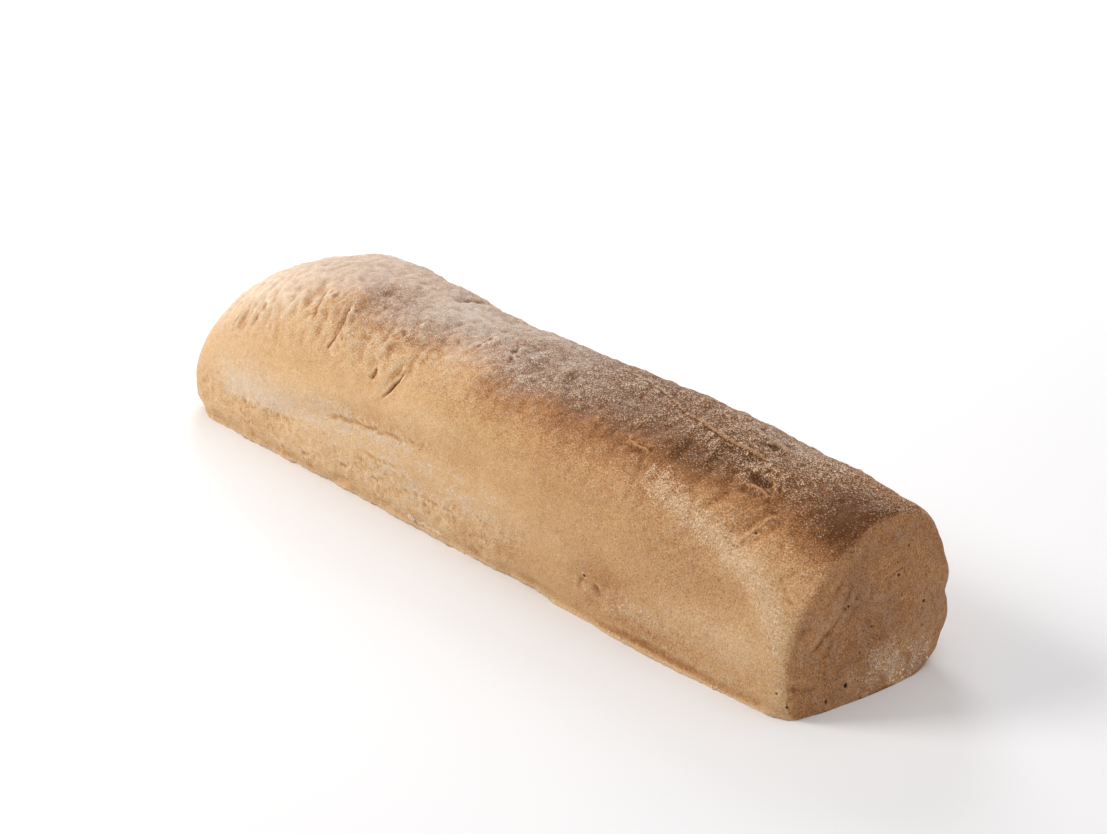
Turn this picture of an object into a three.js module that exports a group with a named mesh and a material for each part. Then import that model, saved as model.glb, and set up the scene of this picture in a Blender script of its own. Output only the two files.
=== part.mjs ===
// Ciabatta: one long baked loaf, domed and round at one end, standing up straight and flat at the other.
// Millimetres, +Z up, +X along the loaf to its flat end, -Y its front side, origin in the middle of its foot.
// A place along the loaf is a share of its half length. A turn is an angle in degrees round its section:
// 0 is straight down, 90 the front, 180 the crown and 270 the back.
import * as THREE from "three";
import { ImprovedNoise } from "three/addons/math/ImprovedNoise.js";
import { mergeVertices } from "three/addons/utils/BufferGeometryUtils.js";

// Driving dimensions of the smooth body, to which its bulging sides and relief add about 3 mm
const LENGTH = 330;
const WIDTH = 76;
const HEIGHT = 66.5;
const HALF_LENGTH = LENGTH / 2;
const HALF_WIDTH = WIDTH / 2;

// Section: the waist is the widest line, and the sides round off above and below it
const WAIST_HEIGHT = 14;
const FOOT_DEPTH = WAIST_HEIGHT * 1.1;
const FOOT_TURN = 66;
const FRONT_SQUARENESS = 2.5;
const BACK_SQUARENESS = 2.8;
const FRONT_FOOT_SQUARENESS = 7;
const BACK_FOOT_SQUARENESS = 2.4;
const FRONT_BELLY = { place: 0.48, reach: 90, depth: 1.5 };
const BACK_TAPER = { from: 0.36, depth: 3 };

// Crown
const CROWN_HUMP = { place: -0.6, reach: 48, height: 5 };
const CROWN_DIP = { place: -0.16, reach: 14, depth: 1.2 };
const CROWN_FALL = { from: 0.52, depth: 5 };

// Round end
const ROUND_END = LENGTH * 0.1;
const ROUND_END_SQUARENESS = 2.9;
const DOME_RUN = LENGTH * 0.3;
const DOME_SQUARENESS = 2.35;
const DOME_SHOULDER_SQUARENESS = 1.9;

// Flat end
const FLAT_END_CORNER = 4.5;
const FLAT_END_BULGE = 3;
const FLAT_END_LEAN = 4;
const FLAT_END_RUN = 20;
const FLAT_END_SQUARENESS = 1.65;
const FLAT_END_EDGE = 0.7;
const SHOULDER_RUN = 75;

// Uneven skin
const LUMPS = { size: 34, height: 1.1 };
const RIPPLES = { size: 13, height: 0.5 };

// Creases and ridges
const CREASE_WIDTH = 4.2;
const LIP_SHARE = 0.22;
const LINE_STEPS = 24;
const LINE_END = 0.08;
const BACK_GATHERS = { count: 10, from: -0.76, to: 0.84, top: 208, length: 22, slant: 0.04, depth: 1.5 };
const RANDOM_SEED = 7;

// Mesh
const ROWS = 104;
const AROUND = 56;
const FOOT_STEPS = 4;

// Broad swellings and hollows of the skin, with their reach along in millimetres and around in degrees
const SWELLINGS = {
  hollowFrontWall: { place: 0.75, turn: 109, along: 30, around: 15, height: -2.8 },
  rolledLipAtFoot: { place: 0.67, turn: 71, along: 46, around: 7, height: 2 },
  bumpAboveLip: { place: 0.575, turn: 88, along: 13, around: 7, height: 1.3 },
  dentBesideBump: { place: 0.473, turn: 84, along: 4, around: 5, height: -2 },
  smallDent: { place: 0.436, turn: 91, along: 3.5, around: 5, height: -1.6 },
  pocketOnCrown: { place: 0.67, turn: 190, along: 6, around: 6, height: -2.2 },
  crumpledSkin: { place: 0.763, turn: 169, along: 6, around: 6, height: 1.5 },
  backEdgeBulge: { place: 0.98, turn: 247, along: 9, around: 5, height: 1.2 },
  backEdgeNotch: { place: 0.98, turn: 255, along: 9, around: 4, height: -2.2 },
  backEdgeLowNotch: { place: 0.98, turn: 282, along: 9, around: 5, height: -2 },
};

// Creases, below zero, and ridges, above it, each along a line of places and turns
const LINES = {
  frontSeam: {
    height: -1.7,
    width: 4.6,
    line: [[-0.582, 97], [-0.384, 109], [-0.161, 115], [0.05, 115], [0.234, 114]],
  },
  ledgeOverSeam: { height: 0.9, width: 6, line: [[-0.56, 110], [-0.384, 121], [-0.161, 126], [0.02, 126]] },
  slash: { height: -2.4, width: 3.6, line: [[-0.21, 143], [-0.227, 129]] },
  firstShoulderCrease: { height: -1.4, width: CREASE_WIDTH, line: [[-0.798, 143], [-0.774, 129]] },
  secondShoulderCrease: { height: -2, width: CREASE_WIDTH, line: [[-0.572, 158], [-0.564, 147]] },
  thirdShoulderCrease: { height: -2.2, width: CREASE_WIDTH, line: [[-0.453, 154], [-0.446, 141]] },
  fourthShoulderCrease: { height: -1.4, width: CREASE_WIDTH, line: [[-0.293, 139], [-0.292, 131]] },
  shoulderFold: { height: 1.4, width: CREASE_WIDTH, line: [[-0.465, 163], [-0.401, 142]] },
  crownCrease: { height: -1.2, width: CREASE_WIDTH, line: [[-0.44, 178], [-0.415, 167]] },
  crownNotch: { height: -1.6, width: 5, line: [[-0.3, 192], [-0.25, 212]] },
  longCrownFold: { height: 1.2, width: CREASE_WIDTH, line: [[0.208, 193], [0.481, 181], [0.727, 178]] },
  shortCrownFold: { height: 1.2, width: CREASE_WIDTH, line: [[0.595, 194], [0.662, 189]] },
  smallFold: { height: 1, width: CREASE_WIDTH, line: [[0.442, 156], [0.51, 155]] },
  firstGather: { height: -1.3, width: CREASE_WIDTH, line: [[0.547, 170], [0.572, 156]] },
  secondGather: { height: -1.5, width: CREASE_WIDTH, line: [[0.616, 172], [0.652, 158]] },
  thirdGather: { height: -1.3, width: CREASE_WIDTH, line: [[0.681, 163], [0.694, 153]] },
  fourthGather: { height: -1.5, width: CREASE_WIDTH, line: [[0.816, 155], [0.79, 138]] },
  ridgeToCorner: { height: 1.6, width: 5, line: [[0.838, 135], [0.889, 121], [0.947, 103]] },
};

const { clamp, degToRad, lerp, seededRandom, smoothstep } = THREE.MathUtils;
const noise = new ImprovedNoise();

const swell = (distance, reach) => Math.exp(-((distance / reach) ** 2));

// Distance out from the middle of a quarter superellipse of size one, for a distance along it.
const quarter = (along, squareness) => (1 - along ** squareness) ** (1 / squareness);

// The plan of the round end, from its tip to the full width of the loaf.
class RoundEnd extends THREE.Curve {
  getPoint(t, target = new THREE.Vector2()) {
    const angle = (t * Math.PI) / 2;
    const power = 2 / ROUND_END_SQUARENESS;
    const x = -HALF_LENGTH + ROUND_END * (1 - Math.cos(angle) ** power);
    return target.set(x, HALF_WIDTH * Math.sin(angle) ** power);
  }
}

// Half the loaf's plan as one line: round end, long side, corner, and in to the middle of the flat end.
function planOutline() {
  const cornerX = HALF_LENGTH - FLAT_END_CORNER;
  const cornerY = HALF_WIDTH - FLAT_END_CORNER;
  const sideStart = new THREE.Vector2(-HALF_LENGTH + ROUND_END, HALF_WIDTH);
  const path = new THREE.CurvePath();
  path.add(new RoundEnd());
  path.add(new THREE.LineCurve(sideStart, new THREE.Vector2(cornerX, HALF_WIDTH)));
  path.add(new THREE.EllipseCurve(cornerX, cornerY, FLAT_END_CORNER, FLAT_END_CORNER, Math.PI / 2, 0, true));
  path.add(new THREE.LineCurve(new THREE.Vector2(HALF_LENGTH, cornerY), new THREE.Vector2(HALF_LENGTH, 0)));
  return path;
}

// Height of the crown above the board at one place along the loaf.
function crownHeight(x) {
  const hump = CROWN_HUMP.height * swell(x - CROWN_HUMP.place * HALF_LENGTH, CROWN_HUMP.reach);
  const dip = CROWN_DIP.depth * swell(x - CROWN_DIP.place * HALF_LENGTH, CROWN_DIP.reach);
  const fall = CROWN_FALL.depth * smoothstep(x, CROWN_FALL.from * HALF_LENGTH, HALF_LENGTH);
  return HEIGHT - CROWN_HUMP.height + hump - dip - fall;
}

// How full the upper or lower quarter of a section is, front or back.
function squarenessAt(x, up, front) {
  if (!up) return front ? FRONT_FOOT_SQUARENESS : BACK_FOOT_SQUARENESS;
  if (!front) return BACK_SQUARENESS;
  const nearRoundEnd = smoothstep(-x, HALF_LENGTH - DOME_RUN, HALF_LENGTH);
  const nearFlatEnd = smoothstep(x, HALF_LENGTH - SHOULDER_RUN, HALF_LENGTH);
  const endSquareness = x < 0 ? DOME_SHOULDER_SQUARENESS : FLAT_END_SQUARENESS;
  return lerp(FRONT_SQUARENESS, endSquareness, nearRoundEnd + nearFlatEnd);
}

// Distance from the waist to the skin in one direction of a section.
function sectionReach(x, turn, domeShare) {
  const angle = degToRad(turn);
  const up = Math.cos(angle) < 0;
  const front = Math.sin(angle) > 0;
  const belly = FRONT_BELLY.depth * swell(x - FRONT_BELLY.place * HALF_LENGTH, FRONT_BELLY.reach);
  const taper = BACK_TAPER.depth * smoothstep(x, BACK_TAPER.from * HALF_LENGTH, HALF_LENGTH);
  const side = HALF_WIDTH + (front ? belly : -taper);
  const rise = up ? (crownHeight(x) - WAIST_HEIGHT) * domeShare : FOOT_DEPTH;
  const power = squarenessAt(x, up, front);
  const share = Math.abs(Math.cos(angle) / rise) ** power + Math.abs(Math.sin(angle) / side) ** power;
  return share ** (-1 / power);
}

// The smooth loaf before any relief: a row of the plan outline and a turn in its section give a point.
function smoothPoint(row, turn) {
  const nearlyNothing = 1e-6;
  const share = row.y / HALF_WIDTH;
  const dome = quarter(clamp(1 - (row.x + HALF_LENGTH) / DOME_RUN, 0, 1), DOME_SQUARENESS);
  const domeShare = row.x < 0 ? dome / Math.max(share, nearlyNothing) : 1;
  const reach = sectionReach(row.x, turn, Math.max(domeShare, nearlyNothing)) * share;
  const y = -reach * Math.sin(degToRad(turn));
  const z = WAIST_HEIGHT - reach * Math.cos(degToRad(turn));
  const onFlatEnd = smoothstep(row.x, HALF_LENGTH - FLAT_END_RUN, HALF_LENGTH);
  const bulge = FLAT_END_BULGE * (1 - (y / HALF_WIDTH) ** 2);
  const lean = FLAT_END_LEAN * (z / HEIGHT);
  return new THREE.Vector3(row.x + onFlatEnd * (bulge - lean), y, Math.max(z, 0));
}

// A point on the smooth side of the loaf, at a share of its half length and a turn.
function sidePoint(place, turn) {
  const x = place * HALF_LENGTH;
  const fromSide = clamp(1 - (x + HALF_LENGTH) / ROUND_END, 0, 1);
  return smoothPoint(new THREE.Vector2(x, HALF_WIDTH * quarter(fromSide, ROUND_END_SQUARENESS)), turn);
}

// Gathers of the skin down the back shoulder, one after another at uneven places.
function backGathers() {
  const { count, from, to, top, length, slant, depth } = BACK_GATHERS;
  seededRandom(RANDOM_SEED);
  return Array.from({ length: count }, (unused, i) => {
    const place = lerp(from, to, (i + seededRandom() / 2) / count);
    const start = top + (seededRandom() * length) / 2;
    const foot = place + slant * (seededRandom() * 2 - 1);
    const end = start + length * lerp(0.5, 1, seededRandom());
    const height = -depth * lerp(0.5, 1, seededRandom());
    return { height, width: CREASE_WIDTH, line: [[place, start], [foot, end]] };
  });
}

// Every crease and ridge, with its line as points on the smooth loaf.
function skinLines() {
  return [...Object.values(LINES), ...backGathers()].map(({ height, width, line }) => {
    const curve = new THREE.CatmullRomCurve3(line.map(([place, turn]) => sidePoint(place, turn)));
    return { height, width, points: curve.getSpacedPoints(LINE_STEPS) };
  });
}

// Height of a crease or ridge at a point: full on its line, fading to its ends, with a low lip on both sides.
function lineHeight({ height, width, points }, point) {
  const distances = points.map((station) => station.distanceTo(point));
  const nearest = Math.min(...distances);
  const along = distances.indexOf(nearest) / LINE_STEPS;
  const fade = Math.sqrt(Math.sin(Math.PI * clamp(along, LINE_END, 1 - LINE_END)));
  return height * fade * (swell(nearest, width) - LIP_SHARE * swell(nearest - 2 * width, width));
}

// Height of the uneven skin over the smooth loaf at a point, with its row of the plan and its turn.
function reliefHeight(point, row, turn, lines) {
  let height = 0;
  for (const { size, height: rise } of [LUMPS, RIPPLES]) {
    height += rise * noise.noise(point.x / size, point.y / size, point.z / size);
  }
  const offFlatEnd = smoothstep(row.y / HALF_WIDTH, FLAT_END_EDGE, 1);
  for (const { place, turn: middle, along, around, height: rise } of Object.values(SWELLINGS)) {
    height += offFlatEnd * rise * swell(row.x - place * HALF_LENGTH, along) * swell(turn - middle, around);
  }
  for (const line of lines) height += lineHeight(line, point);
  return height;
}

// Turn of one step around a section, with few steps across the flat foot.
function turnOfStep(step) {
  const fromFoot = Math.min(step, AROUND - step);
  const sideTurn = (180 - FOOT_TURN) / (AROUND / 2 - FOOT_STEPS);
  const footTurn = (FOOT_TURN * fromFoot) / FOOT_STEPS;
  const turn = fromFoot < FOOT_STEPS ? footTurn : FOOT_TURN + sideTurn * (fromFoot - FOOT_STEPS);
  return step === fromFoot ? turn : 360 - turn;
}

// A sphere of rows and steps pulled onto the smooth loaf, where each vertex keeps its row and turn.
function smoothLoaf() {
  const sphere = new THREE.SphereGeometry(1, AROUND, ROWS);
  const rows = planOutline().getSpacedPoints(ROWS);
  const position = sphere.getAttribute("position");
  const uv = sphere.getAttribute("uv");
  const rowAndTurn = new THREE.BufferAttribute(new Float32Array(uv.count * 3), 3);
  for (let i = 0; i < uv.count; i++) {
    const index = Math.round((1 - uv.getY(i)) * ROWS);
    const onPole = index === 0 || index === ROWS;
    const turn = onPole ? 0 : turnOfStep(Math.round(uv.getX(i) * AROUND) % AROUND);
    position.setXYZ(i, ...smoothPoint(rows[index], turn).toArray());
    rowAndTurn.setXYZ(i, rows[index].x, rows[index].y, turn);
  }
  sphere.deleteAttribute("uv");
  sphere.deleteAttribute("normal");
  sphere.setAttribute("rowAndTurn", rowAndTurn);
  return mergeVertices(sphere, 1e-3);
}

// The smooth loaf with its relief raised along the normals, still flat where it lies on the board.
function loafGeometry() {
  const geometry = smoothLoaf();
  geometry.computeVertexNormals();
  const lines = skinLines();
  const position = geometry.getAttribute("position");
  const normal = geometry.getAttribute("normal");
  const rowAndTurn = geometry.getAttribute("rowAndTurn");
  for (let i = 0; i < position.count; i++) {
    const point = new THREE.Vector3().fromBufferAttribute(position, i);
    const outward = new THREE.Vector3().fromBufferAttribute(normal, i);
    const row = new THREE.Vector2(rowAndTurn.getX(i), rowAndTurn.getY(i));
    const onBoard = point.z === 0;
    point.addScaledVector(outward, reliefHeight(point, row, rowAndTurn.getZ(i), lines));
    position.setXYZ(i, point.x, point.y, onBoard ? 0 : Math.max(point.z, 0));
  }
  geometry.deleteAttribute("rowAndTurn");
  geometry.deleteAttribute("normal");
  geometry.computeBoundingBox();
  const middle = geometry.boundingBox.getCenter(new THREE.Vector3());
  return geometry.translate(-middle.x, -middle.y, 0);
}

const crust = new THREE.MeshStandardMaterial({ color: 0xb98a58, roughness: 0.85, metalness: 0 });
const loaf = new THREE.Mesh(loafGeometry(), crust);
loaf.name = "loaf";

const ciabatta = new THREE.Group();
ciabatta.add(loaf);

export default ciabatta;
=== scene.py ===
# Ciabatta: the creased crust of one long loaf, the flour dusted over it, and a plain stage to show it on.
# Metres, +Z up, +X along the loaf to its flat end, -Y its front side, as in the packed frame.
# A place along the loaf is a share of its half length. A turn is an angle in degrees round its section, about
# a line at waist height: 0 is straight down, 90 the front, 180 the crown and 270 the back.
import math
from typing import NamedTuple

import bmesh
import bpy
import numpy as np
from bpy.props import FloatProperty, FloatVectorProperty, IntProperty, PointerProperty
from mathutils import Euler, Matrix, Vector, noise
from mathutils.bvhtree import BVHTree
from mathutils.kdtree import KDTree


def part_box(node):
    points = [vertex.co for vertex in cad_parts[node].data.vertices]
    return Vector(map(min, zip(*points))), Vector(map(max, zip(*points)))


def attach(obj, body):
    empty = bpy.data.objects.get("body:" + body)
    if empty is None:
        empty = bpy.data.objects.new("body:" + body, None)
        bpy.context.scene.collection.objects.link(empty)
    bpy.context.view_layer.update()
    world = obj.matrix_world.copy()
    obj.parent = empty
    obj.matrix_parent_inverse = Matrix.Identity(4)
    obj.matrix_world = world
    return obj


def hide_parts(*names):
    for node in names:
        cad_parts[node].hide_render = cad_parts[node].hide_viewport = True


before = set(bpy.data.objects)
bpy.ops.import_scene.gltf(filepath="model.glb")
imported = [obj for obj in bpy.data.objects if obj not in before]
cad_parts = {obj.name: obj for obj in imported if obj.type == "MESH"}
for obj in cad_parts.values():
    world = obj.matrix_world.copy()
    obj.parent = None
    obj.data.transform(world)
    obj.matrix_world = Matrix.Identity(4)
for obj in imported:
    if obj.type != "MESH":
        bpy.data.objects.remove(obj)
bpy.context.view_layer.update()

bl_info = {
    "name": "Ciabatta",
    "version": (1, 0, 0),
    "blender": (4, 5, 0),
    "location": "View3D > Sidebar > Bakery",
    "description": "Gives a packed loaf its creased and floury crust",
    "category": "Object",
}

LOAF_LOW, LOAF_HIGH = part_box("loaf")
HALF_LENGTH = LOAF_HIGH.x
HALF_WIDTH = LOAF_HIGH.y
MM = 0.001
WAIST_HEIGHT = 14 * MM


class SkinPatch(NamedTuple):
    """A soft round patch of the skin: its reach along the loaf is in millimetres, and round it in degrees."""
    amount: float
    place: float
    turn: float
    along: float
    around: float


class SkinLine(NamedTuple):
    """A crease, below zero, or a ridge, above it: height and width in millimetres, and how bare its edge is.

    A lean makes one side of it that many times wider. Below zero that is the left side on the way along it,
    seen from outside.
    """
    height: float
    width: float
    points: tuple
    bare: float = 0.0
    lean: float = 0.0


class FlourLine(NamedTuple):
    """A line that flour lies along: a thin veil of it, grains of it, and its reach in millimetres."""
    veil: float
    grains: float
    reach: float
    points: tuple


class Lamp(NamedTuple):
    """A wide soft lamp: where it stands and looks, its side and its colour."""
    place: tuple
    target: tuple
    size: float
    colour: tuple


# Creases and ridges round the loaf, through points of place and turn
SIDE_LINES = {
    "slash": SkinLine(
        -1.2, 0.65, ((-0.218, 143.5), (-0.223, 140), (-0.231, 136.5), (-0.235, 133), (-0.241, 129.5))),
    "slash_core": SkinLine(-1.2, 0.6, ((-0.222, 140.5), (-0.231, 136.5), (-0.236, 132.5))),
    "slash_hollow": SkinLine(-0.5, 2.0, ((-0.228, 143), (-0.243, 136))),
    "dash_over_slash": SkinLine(-0.95, 0.9, ((-0.298, 139.5), (-0.301, 135))),
    "end_streak": SkinLine(0.9, 0.9, ((-0.798, 141.5), (-0.802, 130)), 0.5),
    "end_streak_again": SkinLine(0.9, 0.9, ((-0.723, 147), (-0.736, 135)), 0.5),
    "end_crease": SkinLine(-1.0, 1.6, ((-0.768, 146), (-0.773, 132))),
    "second_crease": SkinLine(-1.3, 1.2, ((-0.562, 157), (-0.555, 152), (-0.548, 148.5))),
    "second_ridge": SkinLine(1.1, 0.9, ((-0.54, 159), (-0.528, 150)), 0.4, -2),
    "third_crease": SkinLine(-0.9, 1.5, ((-0.457, 157), (-0.452, 149), (-0.452, 143))),
    "third_slot": SkinLine(-1.1, 0.75, ((-0.450, 144.5), (-0.454, 141.5), (-0.459, 138.5))),
    "third_ridge": SkinLine(1.0, 0.9, ((-0.440, 155.4), (-0.424, 150), (-0.413, 144)), 0.5, -2),
    "fold_before_slash": SkinLine(0.9, 0.9, ((-0.288, 157), (-0.299, 150.5), (-0.302, 146)), 0.5, -2),
    "fold_before_slash_shade": SkinLine(-1.0, 1.5, ((-0.312, 156), (-0.322, 148))),
    "hump_hollow": SkinLine(-1.1, 2.6, ((-0.435, 178), (-0.425, 170))),
    "back_notch": SkinLine(-1.9, 1.8, ((-0.302, 189), (-0.31, 199), (-0.31, 208))),
    "middle_crease": SkinLine(-0.7, 1.0, ((-0.121, 180), (-0.107, 165.5))),
    "middle_crease_again": SkinLine(-0.6, 1.2, ((-0.046, 181), (-0.002, 167.5))),
    "step": SkinLine(0.5, 2.0, ((0.022, 171), (0.05, 165.5), (0.085, 160))),
    "swirl": SkinLine(0.5, 1.5, ((0.128, 190), (0.126, 174), (0.17, 165), (0.218, 154)), 0.2),
    "swirl_hollow": SkinLine(-0.6, 2.0, ((0.15, 186), (0.155, 174), (0.20, 165))),
    "long_fold_start": SkinLine(
        0.35, 0.35, ((0.16, 197), (0.28, 192.5), (0.35, 189.5), (0.415, 184.8), (0.477, 181.3)), 0.35, -4),
    "long_fold": SkinLine(
        0.8, 0.38, (
            (0.47, 181.6), (0.507, 180.2), (0.547, 178.5), (0.58, 178), (0.637, 178.4), (0.662, 178.1),
            (0.703, 178.8)), 1.0, -4),
    "long_fold_shade": SkinLine(-0.8, 1.3, ((0.60, 174.5), (0.64, 174.6), (0.69, 175.4))),
    "long_fold_back_shade": SkinLine(-0.5, 1.3, ((0.63, 182), (0.66, 182), (0.69, 182))),
    "fold_fleck": SkinLine(0.9, 0.6, ((0.470, 181.9), (0.481, 181.0)), 1.0),
    "short_fold": SkinLine(
        1.6, 0.45, ((0.631, 191.2), (0.641, 193.7), (0.653, 194.6), (0.678, 193.5)), 1.0, -4),
    "short_fold_gap": SkinLine(-2.3, 0.9, ((0.645, 191.2), (0.658, 191.8), (0.671, 191.6))),
    "short_fold_behind": SkinLine(-1.2, 1.9, ((0.645, 199), (0.68, 198.5))),
    "fold_bit": SkinLine(0.5, 0.65, ((0.47, 199.8), (0.483, 199.8)), 0.8),
    "fold_bit_again": SkinLine(0.5, 0.65, ((0.498, 195.2), (0.51, 194.8)), 0.8),
    "back_streak": SkinLine(-0.8, 1.2, ((0.572, 199), (0.60, 196.5))),
    "crumple_basin": SkinLine(-2.6, 2.2, ((0.705, 168.3), (0.728, 167.5), (0.752, 168))),
    "crumple_rim": SkinLine(
        1.0, 0.7, ((0.70, 171.8), (0.722, 174.4), (0.75, 174.2), (0.772, 171.8), (0.789, 166.7)), 0.25, -4),
    "crumple_inner_rim": SkinLine(0.6, 0.6, ((0.728, 171.2), (0.75, 170.6), (0.768, 167)), 0.2, -2.5),
    "crumple_wall": SkinLine(0.5, 0.9, ((0.675, 170), (0.69, 171), (0.71, 170.6)), 0.2, -2),
    "crumple_shade": SkinLine(-0.8, 2.0, ((0.655, 170), (0.668, 163), (0.678, 157))),
    "crumple_ridge": SkinLine(
        1.0, 0.42, ((0.715, 162.6), (0.729, 163.8), (0.746, 163.6), (0.77, 162.8)), 1.0, 4),
    "crumple_ridge_shade": SkinLine(-0.8, 1.3, ((0.71, 160.3), (0.738, 160.3))),
    "shoulder_ridge": SkinLine(0.5, 0.6, ((0.806, 157), (0.788, 149.5), (0.773, 138)), 0.7, 3),
    "shoulder_shade": SkinLine(-0.5, 1.4, ((0.824, 155), (0.806, 147), (0.793, 139))),
    "corner_ridge": SkinLine(0.3, 0.4, ((0.845, 129), (0.862, 125), (0.894, 115.4), (0.931, 102.7)), 0.6, -4),
    "corner_crease": SkinLine(-0.35, 0.8, ((0.905, 131), (0.935, 125))),
    "small_fold": SkinLine(0.25, 0.3, ((0.43, 156.2), (0.452, 155.4), (0.472, 155.8), (0.492, 154.6)), 0.9),
    "small_fold_shade": SkinLine(-0.25, 0.9, ((0.435, 154.2), (0.485, 153.3))),
    "first_gather": SkinLine(-0.5, 1.7, ((0.58, 168), (0.581, 158.5))),
    "second_gather": SkinLine(-0.6, 1.7, ((0.604, 171.5), (0.621, 156))),
    "third_gather": SkinLine(-0.5, 1.5, ((0.686, 158), (0.692, 152))),
    "foot_hole_trail": SkinLine(-0.35, 1.1, ((0.420, 91), (0.413, 88), (0.414, 84))),
    "foot_dent": SkinLine(-1.3, 1.5, ((0.457, 88.5), (0.463, 85.5))),
    "foot_groove": SkinLine(-0.45, 1.2, ((0.50, 73.6), (0.56, 74.2), (0.62, 74.8), (0.69, 74.2), (0.78, 73))),
    "foot_lip": SkinLine(
        0.2, 0.5, ((0.47, 71.2), (0.53, 71.5), (0.60, 72.2), (0.66, 72), (0.75, 71.2), (0.90, 70.9)), 0.35),
    "flour_step": SkinLine(
        0.3, 0.8, ((-0.70, 93), (-0.633, 95.2), (-0.57, 96), (-0.513, 98.4), (-0.45, 98.6), (-0.398, 101)),
        0.0, -4),
    "seam_crease": SkinLine(-0.6, 1.0, ((-0.40, 108.6), (-0.37, 110.6), (-0.335, 110.2))),
    "seam_crease_middle": SkinLine(-0.4, 0.9, ((-0.325, 112.2), (-0.29, 111.4), (-0.255, 113.2))),
    "seam_crease_right": SkinLine(-0.6, 1.1, ((-0.245, 111.6), (-0.21, 114), (-0.17, 113.6))),
    "seam_crease_end": SkinLine(-0.3, 0.8, ((-0.16, 116.2), (-0.12, 115.6), (-0.09, 117))),
    "seam_flap": SkinLine(0.5, 0.7, ((-0.41, 110.6), (-0.365, 112.4), (-0.33, 112)), 0.4, -4),
    "seam_flap_middle": SkinLine(0.5, 0.6, ((-0.32, 114), (-0.285, 113.2), (-0.25, 115)), 0.3, -4),
    "seam_flap_right": SkinLine(0.45, 0.7, ((-0.24, 113.6), (-0.205, 116), (-0.165, 115.8)), 0.3, -4),
    "band_scar": SkinLine(-0.5, 0.8, ((-0.362, 84.6), (-0.348, 84), (-0.338, 85.6))),
    "band_scar_left": SkinLine(-0.5, 0.9, ((-0.50, 80), (-0.486, 79), (-0.478, 80.5))),
    "band_scar_high": SkinLine(-0.5, 0.8, ((-0.592, 94.6), (-0.585, 93), (-0.582, 91))),
    "band_scar_right": SkinLine(-0.4, 0.7, ((-0.245, 87), (-0.23, 86.2))),
    "band_streak": SkinLine(-0.3, 0.9, ((-0.30, 99), (-0.24, 98), (-0.17, 99))),
    "band_streak_low": SkinLine(-0.25, 0.8, ((-0.13, 90), (-0.06, 89.4), (0.02, 90))),
}

# Creases and ridges on the flat end, through points across and up in millimetres
END_LINES = {
    "end_fold": SkinLine(-0.55, 1.2, ((-11.5, 36.7), (-15.9, 29.6), (-21, 24.9), (-27.4, 20))),
    "end_fold_lip": SkinLine(0.6, 1.7, ((-14, 37.5), (-18.5, 31), (-24, 26), (-29.5, 21.5)), 0.2),
    "edge_fold": SkinLine(0.5, 1.8, ((-31, 20), (-26, 30), (-19, 39.5), (-11, 47.5)), 0.15),
    "edge_groove": SkinLine(-0.5, 1.3, ((-12, 43.4), (-20.4, 36), (-26, 31), (-31, 25))),
    "end_streak_low": SkinLine(-0.45, 1.4, ((-8.4, 32.6), (-13, 27), (-18.6, 22.4), (-25, 15))),
    "end_hollow": SkinLine(-0.4, 3.0, ((4, 20), (9, 13), (16, 12))),
    "crack": SkinLine(-0.3, 0.6, ((1.5, 35.8), (5, 36.4), (10.5, 38))),
    "corner_dent": SkinLine(-1.0, 1.3, ((-36, 10.8), (-33, 9.6), (-29, 9.0), (-26, 8.4))),
    "corner_pleat": SkinLine(0.6, 0.8, ((-35.6, 4.6), (-34.2, 7), (-33.2, 8.8)), 0.4),
}

# Open pores of the walls: place, turn and radius in millimetres
SIDE_PORES = {
    "foot_hole": (0.424, 92.2, 0.6),
    "corner_pore": (0.953, 81.7, 0.45),
    "corner_pore_low": (0.972, 75.4, 0.55),
    "shoulder_pore": (0.792, 147.2, 0.45),
}

# Open pores of the flat end: across, up and radius, in millimetres
END_PORES = {
    "top": (12.3, 44.5, 0.4),
    "over_crack": (7.6, 40.1, 0.4),
    "in_crack": (8.1, 35.9, 0.55),
    "under_crack": (9.2, 28.8, 0.4),
    "right": (19.4, 23.7, 0.6),
    "left": (-12.8, 31.7, 0.5),
    "middle": (-3.9, 22.5, 0.45),
    "middle_low": (-5.4, 17.3, 0.4),
    "middle_left": (-9.0, 15.4, 0.4),
    "foot": (-14.5, 5.9, 0.75),
    "foot_left": (-22.5, 3.3, 0.55),
}

# Small pores at random: their shares of the set size, and where they lie in the wall and in the flat end
SMALL_PORES = {
    "wall": ((0.6, 1.3), (-0.75, 0.3), (76, 96)),
    "end": ((0.5, 1.0), (-24, 24), (5, 42)),
}

# Depths of the pores as shares of their radius
NAMED_PORE_DEPTH = 0.8
SMALL_PORE_DEPTH = 0.6

# Fields of small gathers: how many, from which place to which, and between which turns
GATHER_FIELDS = (
    (14, -0.86, -0.10, 142, 170),
    (12, 0.32, 0.90, 150, 178),
    (20, -0.80, 0.86, 216, 244),
)

# Depth and width of a gather in millimetres, its length in degrees, and the mean and spread of its lean
GATHER_DEPTH = (0.25, 0.75)
GATHER_WIDTH = (1.5, 2.4)
GATHER_LENGTH = (6, 14)
GATHER_LEAN = (0.005, 0.012)

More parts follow.
